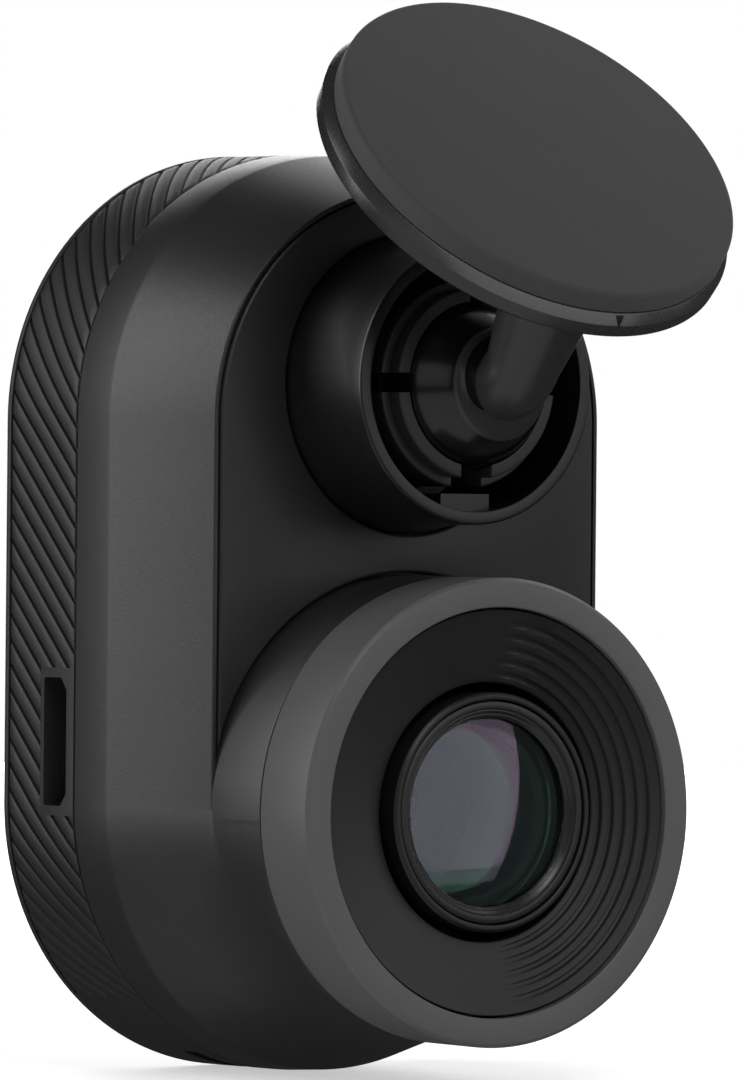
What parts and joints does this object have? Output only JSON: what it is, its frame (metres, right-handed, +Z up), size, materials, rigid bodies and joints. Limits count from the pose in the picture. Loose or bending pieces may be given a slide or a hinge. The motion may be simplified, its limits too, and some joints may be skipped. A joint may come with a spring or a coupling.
{
  "type": "dash camera",
  "caption": "Compact round-ended windscreen camera with a protruding lens, hung by a ball joint from an adhesive disc.",
  "frame": {"origin": "centre of the adhesive face that is stuck to the windscreen", "axes": "+Z up, -Y the way the lens looks, X the width"},
  "size_m": [0.0312, 0.0406, 0.0609],
  "materials": {
    "adhesive": "matt acrylic foam tape",
    "mount_plastic": "fine matt moulding",
    "stem_plastic": "satin moulding",
    "ball_plastic": "polished moulding",
    "collet_plastic": "fine matt moulding",
    "socket_plastic": "satin moulding",
    "screw_steel": "zinc-plated steel",
    "housing_plastic": "fine spark-eroded texture",
    "panel_plastic": "very fine matt moulding",
    "grip_plastic": "ribbed matt moulding",
    "cover_plastic": "fine matt moulding",
    "ring_plastic": "matt moulding",
    "disc_plastic": "matt moulding with turned grooves",
    "lens_black": "black anodised look",
    "retainer_black": "satin black",
    "coated_glass": "anti-reflection coated glass",
    "inner_glass": "polished glass",
    "filter_glass": "blue-green filter glass",
    "sensor_chip": "sensor under cover glass",
    "circuit_board": "solder mask on glass-fibre board",
    "flex_film": "polyimide film",
    "tinned_steel": "tinned steel",
    "thermal_rubber": "soft silicone pad",
    "spreader_aluminium": "stamped aluminium",
    "socket_steel": "nickel-plated steel",
    "card_plastic": "plain black card",
    "cell_sleeve": "shrink sleeve",
    "switch_plastic": "moulded switch body",
    "plunger_plastic": "moulded plunger",
    "button_plastic": "fine matt moulding",
    "led_resin": "clear resin",
    "pipe_plastic": "clear polycarbonate",
    "mic_brass": "plated can",
    "boot_rubber": "soft silicone",
    "speaker_plastic": "moulded frame"
  },
  "bodies": {
    "mount": {"adhesive_pad": "adhesive", "mount_plate": "mount_plastic", "ball_stem": "stem_plastic"},
    "ball": {"ball": "ball_plastic"},
    "collet": {"collet": "collet_plastic"},
    "camera": {"ball_socket": "socket_plastic", "socket_screws": "screw_steel", "front_housing": "housing_plastic", "front_panel": "panel_plastic", "rear_housing": "grip_plastic", "back_cover": "cover_plastic", "housing_screws": "screw_steel", "lens_ring": "ring_plastic", "ribbed_disc": "disc_plastic", "lens_tube": "lens_black", "lens_retainer": "retainer_black", "front_lens": "coated_glass", "second_lens": "inner_glass", "aperture_stop": "lens_black", "third_lens": "inner_glass", "rear_lens": "inner_glass", "ir_filter": "filter_glass", "lens_holder": "lens_black", "lens_screws": "screw_steel", "image_sensor": "sensor_chip", "sensor_board": "circuit_board", "sensor_cable": "flex_film", "main_board": "circuit_board", "board_screws": "screw_steel", "shield_can": "tinned_steel", "thermal_pad": "thermal_rubber", "heat_spreader": "spreader_aluminium", "usb_socket": "socket_steel", "card_socket": "tinned_steel", "backup_cell": "cell_sleeve", "tact_switch": "switch_plastic", "status_led": "led_resin", "light_pipe": "pipe_plastic", "microphone": "mic_brass", "mic_boot": "boot_rubber", "speaker": "speaker_plastic"},
    "memory_card": {"memory_card": "card_plastic"},
    "action_button": {"action_button": "button_plastic", "switch_plunger": "plunger_plastic"}
  },
  "joints": [
    {"name": "ball_swivel", "type": "hinge", "parent": "mount", "child": "ball", "pos_m": [0, 0.00744, -0.01312], "axis": [0, 0, 1], "range_deg": [-20, 20]},
    {"name": "ball_tilt", "type": "hinge", "parent": "ball", "child": "collet", "pos_m": [0, 0.00744, -0.01312], "axis": [1, 0, 0], "range_deg": [-20, 20]},
    {"name": "ball_roll", "type": "hinge", "parent": "collet", "child": "camera", "pos_m": [0, 0.00744, -0.01312], "axis": [0, -1, 0], "range_deg": [-45, 45]},
    {"name": "card_slide", "type": "slide", "parent": "camera", "child": "memory_card", "axis": [0, 0, -1], "range_m": [-0.0008, 0.012]},
    {"name": "button_press", "type": "slide", "parent": "camera", "child": "action_button", "axis": [0, -1, 0], "range_m": [0, 0.00035], "stiffness_N_per_m": 800, "springref_m": -0.0001}
  ]
}
